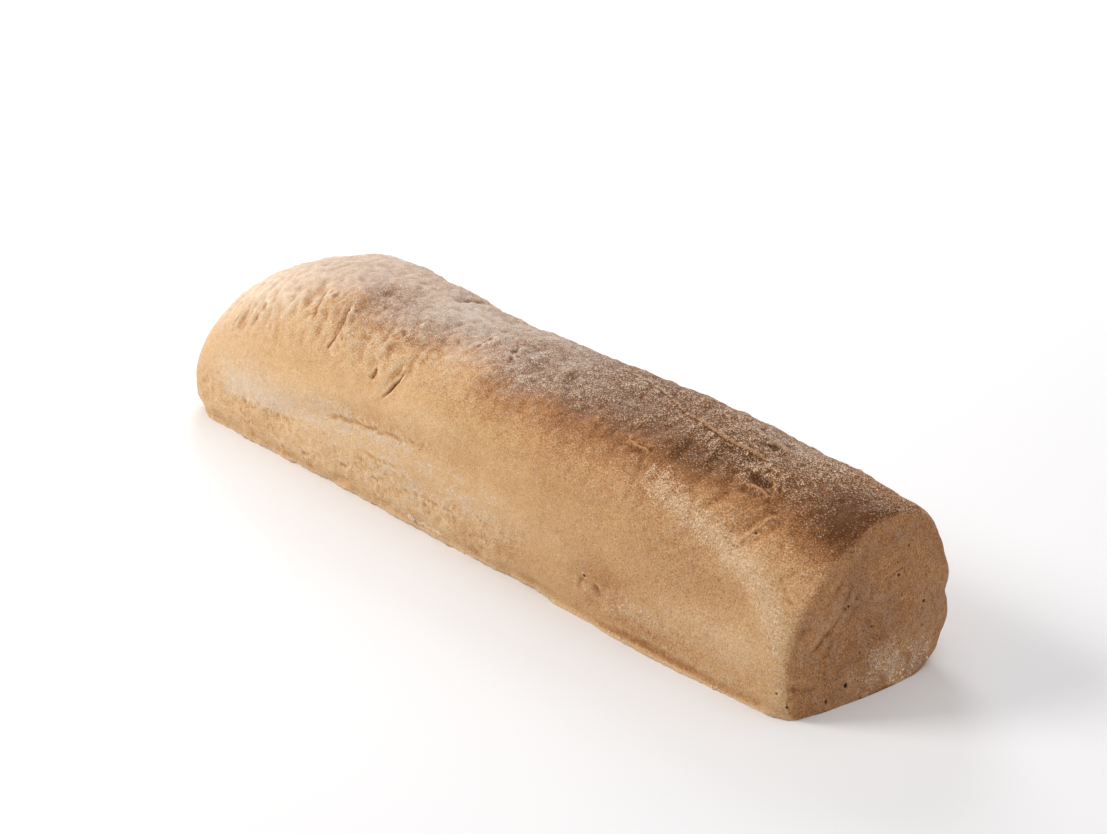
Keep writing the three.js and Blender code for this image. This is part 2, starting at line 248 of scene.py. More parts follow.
# Lines that flour lies along, through points of place and turn
FLOUR_LINES = {
    "corner_band": FlourLine(
        0.0, 0.52, 6.0,
        ((0.54, 147), (0.626, 141.6), (0.739, 136.7), (0.811, 132), (0.885, 122), (0.93, 106))),
    "ledge": FlourLine(
        0.30, 0.35, 9.0,
        ((-0.76, 99), (-0.70, 102), (-0.60, 105), (-0.50, 104.5), (-0.42, 104), (-0.34, 104.5))),
    "ledge_core": FlourLine(0.38, 0.5, 6.0, ((-0.65, 100), (-0.56, 101), (-0.48, 103), (-0.42, 105.5))),
    "first_streak": FlourLine(0.0, 0.45, 0.9, ((-0.798, 141.5), (-0.796, 136), (-0.804, 130))),
    "second_streak": FlourLine(0.0, 0.45, 0.9, ((-0.723, 147), (-0.727, 141), (-0.74, 135))),
    "third_streak": FlourLine(0.0, 0.45, 0.8, ((-0.535, 156), (-0.53, 151), (-0.535, 146))),
    "fourth_streak": FlourLine(0.0, 0.45, 0.8, ((-0.432, 153), (-0.42, 148), (-0.413, 144))),
    "seam": FlourLine(0.24, 0.5, 3.8, ((-0.42, 109), (-0.34, 107), (-0.23, 110), (-0.14, 112))),
    "seam_top": FlourLine(0.14, 0.7, 2.8, ((-0.46, 113.5), (-0.40, 115.5), (-0.34, 115))),
    "foot_flakes": FlourLine(0.15, 0.9, 1.5, ((-0.18, 76), (-0.13, 75), (-0.08, 74.5), (-0.03, 73.5))),
}

# Rises of the crown in millimetres
CROWN_RISES = {
    "round_end": SkinPatch(1.2, -0.85, 170, 13, 16),
    "middle": SkinPatch(1.7, 0.34, 205, 24, 13),
    "flat_end": SkinPatch(1.5, 0.81, 211, 17, 14),
}

# Patches that are browner than the skin round them, or paler. Some of them are painted shade: in the crumple
# basin, in the gap under the short fold, in the hump's hollow, under the round end and above the lip of the
# foot
BROWN_AND_SHADE_PATCHES = {
    "flat_end_top": SkinPatch(0.34, 0.945, 172, 13, 18),
    "flat_end_back": SkinPatch(0.1, 0.9, 184, 10, 8),
    "right_shoulder": SkinPatch(0.14, 0.58, 161, 12, 6),
    "right_shoulder_pale": SkinPatch(-0.06, 0.67, 150, 8, 6),
    "beside_crumple": SkinPatch(0.10, 0.66, 172, 8, 6),
    # Painted shade in the crumple basin.
    "crumple_basin_shade": SkinPatch(0.06, 0.728, 167.5, 4.5, 3),
    # Painted shade in the gap under the short fold.
    "short_fold_gap": SkinPatch(0.25, 0.658, 191.6, 3.5, 1.4),
    "left_crown": SkinPatch(0.06, -0.7, 168, 20, 14),
    "round_end": SkinPatch(0.06, -0.88, 140, 12, 20),
    # Painted shade under the round end.
    "round_end_underside_shade": SkinPatch(0.1, -0.87, 94, 12, 12),
    # Painted shade in the hump's hollow.
    "hump_hollow": SkinPatch(0.12, -0.42, 170, 12, 9),
    "left_shoulder": SkinPatch(0.08, -0.45, 155, 14, 8),
    "middle_wall": SkinPatch(0.05, 0.2, 136, 34, 12),
    "middle_wall_pale": SkinPatch(-0.06, -0.1, 128, 20, 10),
    "middle_wall_low": SkinPatch(0.07, 0.15, 84, 25, 6),
    "foot_hole": SkinPatch(0.19, 0.49, 95, 10, 8),
    # Painted shade on the wall above the rolled lip of the foot.
    "foot_lip": SkinPatch(0.12, 0.58, 79, 24, 4),
    "over_corner_band": SkinPatch(0.08, 0.65, 139, 8, 4),
    "right_wall_pale": SkinPatch(-0.05, 0.71, 98, 14, 8),
    "corner_pale": SkinPatch(-0.08, 0.84, 94, 12, 9),
}

# The pale band that runs down the right shoulder to the corner
CORNER_BAND = {
    "top": SkinPatch(1, 0.66, 140, 12, 5),
    "middle": SkinPatch(1, 0.80, 132, 15, 8),
    "low": SkinPatch(1, 0.90, 117, 8, 10),
}

# Patches with more of a veil of flour than the skin round them, or less
HAZE_PATCHES = {
    "short_fold": SkinPatch(0.2, 0.66, 197, 12, 6),
    "back_crown": SkinPatch(0.18, -0.06, 198, 32, 7),
    "back_notch": SkinPatch(0.25, -0.234, 185, 14, 9),
    # Painted shade: less veil in the hump's hollow.
    "hump_hollow": SkinPatch(-0.2, -0.42, 172, 12, 9),
    "left_shoulder": SkinPatch(-0.1, -0.25, 157, 14, 7),
    "right_wall": SkinPatch(0.14, 0.80, 92, 28, 12),
}

# Patches of the crown and of the walls with more grains of flour than the skin round them, or fewer
CROWN_FLECKS = {
    "flat_end_top": SkinPatch(-0.19, 0.93, 174, 12, 13),
    "flat_end_back": SkinPatch(-0.1, 0.87, 183, 9, 8),
    "right_shoulder": SkinPatch(-0.06, 0.5, 166, 11, 7),
    "middle": SkinPatch(-0.08, 0.35, 176, 12, 7),
    "short_fold": SkinPatch(0.08, 0.65, 197, 30, 7),
}
WALL_FLECKS = {
    "left_shoulder": SkinPatch(0.12, -0.42, 143, 34, 13),
    "foot_lip": SkinPatch(0.14, 0.55, 86, 16, 6),
    "right_wall": SkinPatch(0.08, 0.8, 92, 28, 12),
}

# Single patches: grains of flour above the slash, and coarse grain and lumps over the lip of the foot
SLASH_FLECKS = SkinPatch(0.15, -0.33, 150, 22, 7)
FOOT_GRIT = SkinPatch(0.2, 0.54, 85, 15, 7)
FOOT_LUMPS = SkinPatch(1.5, 0.55, 86, 19, 7)

# Turns from place to place: the lower edge of the crown, the seam, and where flour on the walls ends
CROWN_EDGE = (
    (-0.75, 168), (-0.55, 166), (-0.40, 159), (-0.25, 158), (-0.10, 168), (0.05, 152),
    (0.20, 156), (0.35, 154), (0.50, 153), (0.65, 158), (0.80, 160), (0.92, 155),
)
SEAM = ((-0.7, 98), (-0.4, 109), (-0.1, 116), (0.1, 118))
FLOUR_STEP = ((-0.95, 88), (-0.7, 93), (-0.4, 100.5), (-0.15, 110), (0.1, 116))
LOW_FLOUR_TOP = ((-0.7, 96), (-0.4, 107), (-0.1, 114), (0.1, 114), (0.4, 106))
HAZE_START = ((-0.95, 100), (-0.5, 134), (0.0, 130), (0.4, 126), (0.9, 158))
HAZE_FULL = ((-0.95, 156), (-0.5, 179), (0.0, 168), (0.4, 166), (0.9, 210))
FLECKS_START = ((-0.95, 120), (-0.5, 135), (0.0, 130), (0.4, 135), (0.9, 147))
FLECKS_FULL = ((-0.95, 150), (-0.5, 166), (0.0, 171), (0.4, 176), (0.9, 184))

# Amounts from place to place, and the thickness of the rolled lip in millimetres
WALL_BAKE = ((-0.8, 0.17), (-0.3, 0.20), (0.15, 0.23), (0.4, 0.30), (0.6, 0.32))
CROWN_BAKE = ((-0.9, 0.16), (-0.5, 0.36), (-0.1, 0.46), (0.2, 0.57), (0.5, 0.49), (0.9, 0.42))
TOP_HAZE = ((-0.9, 0.48), (-0.5, 0.54), (-0.1, 0.36), (0.2, 0.19), (0.5, 0.08), (0.9, 0.02))
TOP_FLECKS = (
    (-0.9, 0.14), (-0.5, 0.26), (-0.1, 0.34), (0.3, 0.31), (0.5, 0.31), (0.8, 0.32), (0.9, 0.28),
    (0.97, 0.26),
)
LOW_FLECKS = ((-0.6, 0.16), (0.0, 0.18), (0.5, 0.21))
LIP_THICKNESS = ((0.40, 0.2), (0.53, 1.0), (0.60, 1.7), (0.66, 1.5), (0.75, 0.7), (0.92, 0.4))

# Middle turn and reach of the gathered shoulders
FRONT_GATHERS = (156, 22)
BACK_GATHERS = (236, 16)
LEFT_CRESTS = (150, 15)

# Turns, or places, at which something starts, is full, ebbs and ends
LUMPY_TURNS = (140, 165, 210, 235)
BAKED_TURNS = (98, 140, 196, 210)
WALL_TURNS = (84, 104, 256, 276)
# Painted sheen: where the veil grows toward the back of the crown.
PAINTED_SHEEN_TURNS = (190, 208, 215, 245)
FLECKED_TURNS = (145, 165, 215, 235)
GRITTY_TURNS = (125, 155, 225, 250)
TORN_PLACES = (-0.6, -0.4, -0.15, 0.1)
LOW_FLOUR_PLACES = (-0.52, -0.36, 0.0, 0.4)

# How the packed mesh is joined into quads, and which of its faces lie flat on the floor
MERGE_DISTANCE = 0.001 * MM
JOIN_BEND = math.radians(60)
JOIN_SKEW = math.radians(80)
FACING_DOWN = -0.9

# Traced lines: their step, the share of them that fades at each end, and how their strength wavers
LINE_STEP = 0.6 * MM
LINE_FADE = 0.15
LINE_WAVER = 4 * MM
LINE_NOISE = 0.6
LINE_MEAN = 0.85
LINE_CUT = 2.4
BARE_SHARPNESS = 1.6

# Lines below these widths, and pores, get a finer mesh this far round them
FINE_REACH = 2.0 * MM
FINE_WIDTH = 1.25
FINEST_REACH = 0.8 * MM
FINEST_WIDTH = 0.62

# Parts of the loaf: the foot, the low back, the round tip, the left half and the flat end
FOOT_SETTLE = 1.5 * MM
FOOT_LEVEL = 0.6 * MM
SETTLE_HEIGHT = 4.5 * MM
CALM_FOOT = (0.15, 0.35)
FACING_BACK = 0.6
BACK_LEVEL = 42 * MM
ROUND_PART = -0.5
TIP_REACH = (5 * MM, 20 * MM)
LEFT_PART = (0.0, -0.3)
FLAT_PART = 0.9

# Noise of the skin, and the size at which a bend counts as a hollow
LUMP_SHIFT = 7.31
WRINKLE_SHIFT = 3.7
WRINKLE_LEAN = 0.06
HOLLOW_SIZE = 5 * MM

# Paint of the flat end
END_BAKE = 0.575
END_HAZE = 0.18
END_FLECKS = 0.09
END_GRIT = 0.85

# Loose grains: the least flour that holds one, how far they slide, and the height below which they are flakes
GRAIN_FLOUR = 0.22
GRAIN_SLIDE = 0.45 * MM
FLAKE_HEIGHT = 4 * MM

# Lamps of the stage, each with its power among the settings
LAMPS = {
    "overhead": Lamp((0.3, 0.3, 1.7), (0, 0, 0), 2.4, (1, 0.985, 0.98)),
    "window": Lamp((-0.64, -0.64, 0.72), (-0.05, 0, 0.03), 0.45, (1, 0.98, 0.955)),
    "fill": Lamp((1.0, -0.2, 0.45), (0.15, 0, 0.02), 0.7, (1, 0.98, 0.97)),
    "back": Lamp((-0.75, 0.6, 0.55), (0, 0, 0.05), 0.4, (0.93, 0.95, 1)),
}

# Sockets of a colour mix node
MIX_SHARE, MIX_FIRST, MIX_SECOND, MIX_RESULT = 0, 6, 7, 2


def smoothstep(low, high, value):
    """0 up to one value, 1 from another on, and a soft step between them."""
    share = np.clip((value - low) / (high - low), 0, 1)
    return share * share * (3 - 2 * share)


def swell(distance, reach):
    """A soft bump: 1 at no distance, and nearly 0 from twice its reach on."""
    return np.exp(-(distance / reach) ** 2)


def window(value, start, full, ebb, end):
    """Up from 0 to 1 between two values, and down again between two higher ones."""
    return smoothstep(start, full, value) * (1 - smoothstep(ebb, end, value))


def point_tree(points):
    """A tree that finds the nearest of some points."""
    tree = KDTree(len(points))
    for index, point in enumerate(points):
        tree.insert(point, index)
    tree.balance()
    return tree


class CrustSettings(bpy.types.PropertyGroup):
    """Relief of the crust that is finer than the packed solid"""
    wrinkle_height: FloatProperty(
        name="Wrinkle height", description="How far the gathered skin rises and falls", default=1.6 * MM,
        unit="LENGTH", precision=5)
    wrinkle_spacing: FloatProperty(
        name="Wrinkle spacing", description="Distance from one wrinkle to the next", default=9 * MM,
        unit="LENGTH", precision=5)
    wrinkle_length: FloatProperty(
        name="Wrinkle length", description="How far a wrinkle runs round the loaf", default=22 * MM,
        unit="LENGTH", precision=5)
    lump_height: FloatProperty(
        name="Lump height", description="How far the crown's lumps stand out", default=0.8 * MM,
        unit="LENGTH", precision=5)
    lump_size: FloatProperty(
        name="Lump size", description="Distance from one lump to the next", default=11 * MM,
        unit="LENGTH", precision=5)
    blister_height: FloatProperty(
        name="Blister height", description="How far the small bumps of the skin stand out", default=0.48 * MM,
        unit="LENGTH", precision=5)
    blister_size: FloatProperty(
        name="Blister size", description="Distance from one small bump to the next", default=3 * MM,
        unit="LENGTH", precision=5)
    tear_height: FloatProperty(
        name="Tear height", description="How rough the skin is along the seam", default=0.5 * MM,
        unit="LENGTH", precision=5)
    pore_count: IntProperty(
        name="Pores", description="How many small pores the low wall and the flat end show", default=18)
    pore_size: FloatProperty(
        name="Pore size", description="Radius of a small pore", default=0.38 * MM, unit="LENGTH", precision=5)
    seed: IntProperty(name="Seed", description="Start of the random draws", default=11)


class CrustColours(bpy.types.PropertyGroup):
    """Colours of the crust, from its pale wall to its darkest crown"""
    pale: FloatVectorProperty(
        name="Pale", description="Least baked skin", default=(0.76, 0.54, 0.33), subtype="COLOR",
        min=0, max=1)
    gold: FloatVectorProperty(
        name="Gold", description="Skin of the walls", default=(0.62, 0.373, 0.175), subtype="COLOR",
        min=0, max=1)
    tan: FloatVectorProperty(
        name="Tan", description="Skin of the shoulders", default=(0.43, 0.196, 0.077), subtype="COLOR",
        min=0, max=1)
    chestnut: FloatVectorProperty(
        name="Chestnut", description="Skin of the crown", default=(0.235, 0.098, 0.037), subtype="COLOR",
        min=0, max=1)
    dark: FloatVectorProperty(
        name="Dark", description="Most baked skin", default=(0.11, 0.042, 0.014), subtype="COLOR",
        min=0, max=1)
    bare: FloatVectorProperty(
        name="Bare", description="Thin edges of folded skin", default=(0.66, 0.38, 0.18), subtype="COLOR",
        min=0, max=1)
    # Painted shade: the near-black inside of the open pores and small pits.
    pore: FloatVectorProperty(
        name="Pore", description="Inside of the pores", default=(0.03, 0.012, 0.006), subtype="COLOR",
        min=0, max=1)
    fleck: FloatVectorProperty(
        name="Fleck", description="Flour grains on the crown", default=(0.91, 0.69, 0.48), subtype="COLOR",
        min=0, max=1)
    cream: FloatVectorProperty(
        name="Cream", description="Flour left on pale skin", default=(0.87, 0.74, 0.60), subtype="COLOR",
        min=0, max=1)
    flour: FloatVectorProperty(
        name="Flour", description="Flour left on brown skin", default=(0.79, 0.69, 0.585), subtype="COLOR",
        min=0, max=1)


class FlourSettings(bpy.types.PropertyGroup):
    """Loose flour grains that stand on the skin"""
    grain_count: IntProperty(name="Grains", description="How many grains are scattered", default=9000)
    grain_size: FloatProperty(
        name="Grain size", description="Radius of a common grain", default=0.10 * MM,
        unit="LENGTH", precision=5)
    seed: IntProperty(name="Seed", description="Start of the random draws", default=5)


class StageSettings(bpy.types.PropertyGroup):
    """Floor, lights and camera"""
    floor_size: FloatProperty(
        name="Floor size", description="Side of the floor", default=8.0, unit="LENGTH")
    floor_colour: FloatVectorProperty(
        name="Floor colour", description="Pale colour of the floor", default=(0.85, 0.845, 0.85),
        subtype="COLOR", min=0, max=1)
    sky_strength: FloatProperty(name="Sky", description="Strength of the even light all round", default=0.27)
    overhead_power: FloatProperty(
        name="Overhead light", description="Power of the wide light above", default=18.0, unit="POWER")
    window_power: FloatProperty(
        name="Window light", description="Power of the light at the round end", default=8.8, unit="POWER")
    back_power: FloatProperty(
        name="Back light", description="Power of the soft light behind the loaf", default=5.4, unit="POWER")
    fill_power: FloatProperty(
        name="Fill light", description="Power of the weak light at the flat end", default=0.7, unit="POWER")
    camera_place: FloatVectorProperty(
        name="Camera place", description="Where the camera stands", default=(0.7381, -0.6208, 0.4469),
        subtype="TRANSLATION")
    camera_turn: FloatProperty(
        name="Camera turn", description="How far the camera is turned round the loaf",
        default=math.radians(49.5), subtype="ANGLE")
    camera_rise: FloatProperty(
        name="Camera rise", description="How steeply the camera looks down", default=math.radians(23),
        subtype="ANGLE")
    lens: FloatProperty(name="Lens", description="Focal length of the camera", default=100.0, unit="CAMERA")


class Skin:
    """The points of the crust's mesh, and where each one lies along and round the loaf."""

    def __init__(self, mesh):
        self.points = self.read(mesh.vertices, "co")
        self.normals = self.read(mesh.vertex_normals, "vector")
        self.places = self.points[:, 0] / HALF_LENGTH
        across = -self.points[:, 1]
        below = WAIST_HEIGHT - self.points[:, 2]
        self.reach = np.hypot(across, below)
        turns = np.degrees(np.arctan2(across, below)) % 360
        level = np.degrees(np.arctan2(HALF_WIDTH, below))
        level = np.where(turns > 180, 360 - level, level)
        tip = (1 - smoothstep(*TIP_REACH, self.reach)) * (self.places < ROUND_PART)
        self.turns = turns * (1 - tip) + level * tip
        self.on_end = smoothstep(0.4, 0.9, self.normals[:, 0]) * (self.places > FLAT_PART)
        self.left = smoothstep(*LEFT_PART, self.places)

    @staticmethod
    def areas(mesh):
        """The share of the mesh's area that belongs to each of its points."""
        owners = np.empty(len(mesh.loops), np.int32)
        mesh.loops.foreach_get("vertex_index", owners)
        corners = np.empty(len(mesh.polygons), np.int32)
        mesh.polygons.foreach_get("loop_total", corners)
        faces = np.empty(len(mesh.polygons), np.float32)
        mesh.polygons.foreach_get("area", faces)
        return np.bincount(owners, np.repeat(faces / corners, corners), len(mesh.vertices))

    @staticmethod
    def read(items, name):
        """One vector of each item."""
        values = np.empty(len(items) * 3, np.float32)
        items.foreach_get(name, values)
        return values.reshape(-1, 3).astype(float)

    @staticmethod
    def noise_at(places):
        """The noise at each of some places in space."""
        return np.fromiter((noise.noise(p) for p in places.tolist()), float, len(places))

    def lumps(self, size, seed):
        """Even noise in space, from about -1 to 1, with lumps of one size."""
        return self.noise_at(self.points / size + seed * LUMP_SHIFT)

    def wrinkles(self, spacing, length, seed):
        """Noise drawn out round the loaf, with wrinkles of one spacing and length."""
        around = np.radians(self.turns) * self.reach
        along = self.points[:, 0] + WRINKLE_LEAN * around
        layer = np.full(len(around), seed * WRINKLE_SHIFT)
        return self.noise_at(np.stack([along / spacing, around / length, layer], 1))

    def along(self, stations):
        """Values that are given from place to place, with those between them."""
        places, values = zip(*stations)
        return np.interp(self.places, places, values)

    def around(self, turn, reach):
        """A soft band along the loaf, 1 at one turn."""
        return swell(self.turns - turn, reach)

    def patch(self, spot):
        """One soft round patch."""
        run = (self.places - spot.place) * HALF_LENGTH
        return spot.amount * (swell(run, spot.along * MM) * self.around(spot.turn, spot.around))

    def patches(self, group):
        """The sum of a group of patches."""
        return sum(self.patch(spot) for spot in group.values())

    def with_end(self, amount, end):
        """One amount on the walls and the crown, and another on the flat end."""
        return amount * (1 - self.on_end) + end * self.on_end


def merged_loaf():
    """A copy of the packed loaf as a bmesh of quads, with its loose triangles joined."""
    bm = bmesh.new()
    bm.from_mesh(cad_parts["loaf"].data)
    bmesh.ops.remove_doubles(bm, verts=bm.verts, dist=MERGE_DISTANCE)
    bmesh.ops.join_triangles(
        bm, faces=bm.faces, angle_face_threshold=JOIN_BEND, angle_shape_threshold=JOIN_SKEW)
    crease = bm.edges.layers.float.new("crease_edge")
    for edge in bm.edges:
        on_floor = all(vert.co.z < FOOT_LEVEL for vert in edge.verts)
        rim = any(face.normal.z > FACING_DOWN for face in edge.link_faces)
        edge[crease] = float(on_floor and rim)
    return bm


def subdivided(bm, name):
    """The bmesh as an object with one smooth subdivision applied."""
    mesh = bpy.data.meshes.new(name)
    bm.to_mesh(mesh)
    bm.free()
    piece = bpy.data.objects.new(name, mesh)
    bpy.context.scene.collection.objects.link(piece)
    rounding = piece.modifiers.new("rounding", "SUBSURF")
    rounding.levels = 1
    rounding.render_levels = 1
    view = bpy.context.evaluated_depsgraph_get()
    piece.data = bpy.data.meshes.new_from_object(piece.evaluated_get(view))
    piece.data.name = name
    piece.modifiers.clear()
    bpy.data.meshes.remove(mesh)
    return piece


def side_point(tree, place, turn):
    """The point of the skin at one place and turn."""
    angle = math.radians(turn)
    middle = Vector((place * HALF_LENGTH, 0, WAIST_HEIGHT))
    outwards = Vector((0, -math.sin(angle), -math.cos(angle)))
    return tree.ray_cast(middle, outwards)[0]


def end_point(tree, across, up):
    """The point of the flat end at one distance across and up, in millimetres."""
    outside = Vector((2 * HALF_LENGTH, across * MM, up * MM))
    return tree.ray_cast(outside, Vector((-1, 0, 0)))[0]


def traced(tree, line, find):
    """Points close together along a line of the skin."""
    corners = [np.array(p, float) for p in line.points]
    traced_points = []
    for start, end in zip(corners, corners[1:]):
        length = (find(tree, *end) - find(tree, *start)).length
        steps = max(2, round(length / LINE_STEP))
        for step in range(steps):
            traced_points.append(find(tree, *(start + (end - start) * step / steps)))
    traced_points.append(find(tree, *corners[-1]))
    return traced_points


def gathers(draws):
    """Small creases that draw the skin together round the shoulders, scattered over their fields."""
    lines = {}
    for count, first, last, low, high in GATHER_FIELDS:
        for index in range(count):
            place = draws.uniform(first, last)
            turn = draws.uniform(low, high)
            lean = draws.normal(*GATHER_LEAN)
            length = draws.uniform(*GATHER_LENGTH)
            depth = draws.uniform(*GATHER_DEPTH)
            width = draws.uniform(*GATHER_WIDTH)
            points = ((place, turn), (place + lean, turn - length))
            lines[f"gather_{low}_{index}"] = SkinLine(-depth, width, points)
    return lines


def traced_lines(tree, draws):
    """Each named crease and ridge with its points on the skin."""
    round_lines = {**SIDE_LINES, **gathers(draws)}
    lines = {name: (line, traced(tree, line, side_point)) for name, line in round_lines.items()}
    lines.update({name: (line, traced(tree, line, end_point)) for name, line in END_LINES.items()})
    return lines


def split_faces(bm, faces):
    """Cuts the edges of some faces in half, and the faces into smaller ones."""
    edges = dict.fromkeys(edge for face in faces for edge in face.edges)
    bmesh.ops.subdivide_edges(bm, edges=list(edges), cuts=1, use_grid_fill=True)


def pore_centres(tree, settings, draws):
    """Points of the open pores in the walls and in the flat end, each with its radius and depth."""
    pores = []
    for find, named in ((side_point, SIDE_PORES), (end_point, END_PORES)):
        for first, second, size in named.values():
            pores.append((find(tree, first, second), size * MM, NAMED_PORE_DEPTH * size * MM))
    for index in range(settings.pore_count):
        for find, ranges in ((side_point, SMALL_PORES["wall"]), (end_point, SMALL_PORES["end"])):
            share, first, second = (draws.uniform(*limits) for limits in ranges)
            size = settings.pore_size * share
            pores.append((find(tree, first, second), size, SMALL_PORE_DEPTH * size))
    return pores


def shows(face):
    """Whether a face is on the crown, the front or an end, and not on the foot or low at the back."""
    middle = face.calc_center_median()
    return middle.z > FOOT_LEVEL and not (face.normal.y > FACING_BACK and middle.z < BACK_LEVEL)


def refine(bm, lines, pores):
    """Splits the faces that show, once more beside fine lines and pores, and again beside the finest ones."""
    split_faces(bm, [face for face in bm.faces if shows(face)])
    centres = [centre for centre, size, depth in pores]
    named = centres[:len(SIDE_PORES) + len(END_PORES)]
    for width, extra, reach in ((FINE_WIDTH, centres, FINE_REACH), (FINEST_WIDTH, named, FINEST_REACH)):
        marks = [point for line, points in lines.values() if line.width < width for point in points]
        near = point_tree(marks + extra)
        split_faces(bm, [face for face in bm.faces if near.find(face.calc_center_median())[2] < reach])
    upper = [vert for vert in bm.verts if vert.co.z > FOOT_LEVEL]
    bmesh.ops.smooth_vert(bm, verts=upper, factor=0.5, use_axis_x=True, use_axis_y=True, use_axis_z=True)


def line_relief(skin, lines):
    """Height of the creases and ridges at each point of the skin, and how bare the ridges leave it."""
    height = np.zeros(len(skin.points))
    bare = np.zeros(len(skin.points))
    tree = point_tree(skin.points)
    for line, points in lines.values():
        width = line.width * MM
        wide = max(1.0, abs(line.lean))
        best = np.zeros(len(skin.points))
        edge = np.zeros(len(skin.points))
        last = len(points) - 1
        for step, point in enumerate(points):
            ends = min(1.0, min(step, last - step) / max(1, last) / LINE_FADE)
            waver = LINE_MEAN + LINE_NOISE * noise.noise(point / LINE_WAVER)
            strength = (0.35 + 0.65 * ends) * waver
            near = tree.find_range(point, LINE_CUT * width * wide)
            found = np.array([index for place, index, distance in near])
            if len(found) == 0:
                continue
            along = (points[min(step + 1, last)] - points[max(step - 1, 0)]).normalized()
            across = np.cross(along, skin.normals[tree.find(point)[1]])
            offset = skin.points[found] - np.array(point)
            aside = offset @ across
            square = (offset ** 2).sum(1)
            leaning = np.where(aside * line.lean > 0, aside ** 2 * (1 - 1 / wide ** 2), 0)
            best[found] = np.maximum(best[found], strength * np.exp(-(square - leaning) / width ** 2))
            edge[found] = np.maximum(edge[found], ends * np.exp(-BARE_SHARPNESS * square / width ** 2))
        height = height + line.height * MM * best
        bare = np.maximum(bare, line.bare * edge)
    return height, bare


def distance_to(skin, points):
    """Distance from each point of the skin to the nearest of some points."""
    tree = point_tree(points)
    return np.fromiter((tree.find(p)[2] for p in skin.points), float, len(skin.points))


def pore_relief(skin, pores):
    """Depth of the open pores at each point of the skin."""
    depth = np.zeros(len(skin.points))
    for centre, size, deepest in pores:
        distance = np.linalg.norm(skin.points - np.array(centre), axis=1)
        depth = np.maximum(depth, deepest * swell(distance, size))
    return depth


def folded_relief(skin, settings):
    """Height of the gathered folds, lumps, small bumps and torn seam that cover the skin."""
    off_end = 1 - skin.on_end
    right = smoothstep(0.25, 0.5, skin.places)
    off_tip = smoothstep(8 * MM, 26 * MM, skin.reach)
    front = skin.around(*FRONT_GATHERS) * (0.55 * (1 - skin.left) + 0.2 * right)
    gathered = np.maximum(front, 0.7 * skin.around(*BACK_GATHERS)) * off_end * off_tip
    crests = skin.left * skin.around(*LEFT_CRESTS) * off_end * off_tip
    top = window(skin.turns, *LUMPY_TURNS) * off_end
    spacing = settings.wrinkle_spacing
    length = settings.wrinkle_length
    folds = np.abs(skin.wrinkles(spacing, length, 1))
    folds = folds + 0.9 * np.abs(skin.wrinkles(spacing / 2, length / 2, 2))
    lumps = skin.lumps(settings.lump_size, 8) + 0.5 * skin.lumps(settings.lump_size / 2, 9)
    bumps = skin.lumps(settings.blister_size, 5) + 0.6 * skin.lumps(settings.blister_size / 2, 6)
    shreds = np.abs(skin.lumps(4 * MM, 12)) + 0.6 * np.abs(skin.lumps(2 * MM, 13))
    rough = skin.lumps(3.6 * MM, 14) + 0.6 * skin.lumps(1.8 * MM, 15)
    foot_lumps = skin.lumps(4.5 * MM, 16) + 0.7 * skin.lumps(2.2 * MM, 17)
    torn = seam_share(skin) * (shreds - 0.35) + 0.9 * rough * low_band(skin) * off_end
    torn = torn + foot_lumps * skin.patch(FOOT_LUMPS)
    height = settings.wrinkle_height * (folds - 0.45) * (gathered - crests)
    height = height + settings.lump_height * lumps * (0.12 + 0.88 * top) * (1 - 0.5 * right) * off_end
    height = height + settings.blister_height * bumps * (0.3 + 0.7 * np.maximum(top, gathered))
    return height + settings.tear_height * torn


def low_band(skin):
    """How far each point lies in the rough band low on the front wall, from 0 to 1."""
    before_tip = smoothstep(0, 14 * MM, -skin.points[:, 1])
    return smoothstep(101, 93, skin.turns) * (1 - smoothstep(0.1, 0.35, skin.places)) * before_tip


def foot_flare(skin, up):
    """How far the ragged edge of the foot spreads out, or the wall over it tucks in, in metres."""
    off_end = 1 - smoothstep(0.3, 0.7, skin.normals[:, 0]) * (skin.places > FLAT_PART)
    front = skin.turns < 120
    calm = 1 - 0.7 * smoothstep(*CALM_FOOT, skin.places)
    ragged = 1.0 + (1.1 * skin.lumps(12 * MM, 31) + 0.6 * skin.lumps(3 * MM, 32)) * calm
    edge = smoothstep(2.2 * MM, 0, up) * ragged * (0.35 + 0.65 * off_end)
    tuck = swell(up - 3 * MM, 2.6 * MM) * (1 - smoothstep(0.25, 0.45, skin.places)) * front
    tuck = tuck * np.clip(0.7 + 1.2 * skin.lumps(9 * MM, 33), 0, 1.6)
    thickness = skin.along(LIP_THICKNESS) * MM
    lip = smoothstep(1.12, 0.88, up / thickness) * smoothstep(0.2 * MM, 1.2 * MM, thickness) * front
    return (edge - 0.8 * tuck + 0.9 * lip) * MM


def raised(skin, height):
    """The points of the skin with its relief, and with the foot settled on the floor and spread out."""
    height = height * (0.3 + 0.7 * smoothstep(0, 3 * MM, skin.points[:, 2])) * (skin.normals[:, 2] > -0.8)
    points = skin.points + skin.normals * height[:, None]
    slope = np.linalg.norm(skin.normals[:, :2], axis=1)
    sideways = skin.normals[:, :2] / np.maximum(slope, 0.3)[:, None]
    settled = points[:, 2] - FOOT_SETTLE * (1 - smoothstep(0, SETTLE_HEIGHT, points[:, 2]))
    points[:, 2] = np.maximum(settled, 0)
    hidden = np.clip(-settled, 0, 0.5 * MM) * (1 - smoothstep(*CALM_FOOT, skin.places))
    spread = foot_flare(skin, points[:, 2]) + 1.4 * hidden
    points[:, :2] += sideways * spread[:, None]
    return points


def seam_share(skin):
    """How torn the skin is: 1 along the long seam, 0 away from it."""
    return window(skin.places, *TORN_PLACES) * swell(skin.turns - skin.along(SEAM), 6)


def over_flour_step(skin):
    """1 above the step where the flour on the left wall ends, 0 below it."""
    wander = 1.5 * skin.lumps(9 * MM, 21) + skin.lumps(3 * MM, 22)
    return smoothstep(-1.5, 1.5, skin.turns + wander - skin.along(FLOUR_STEP))


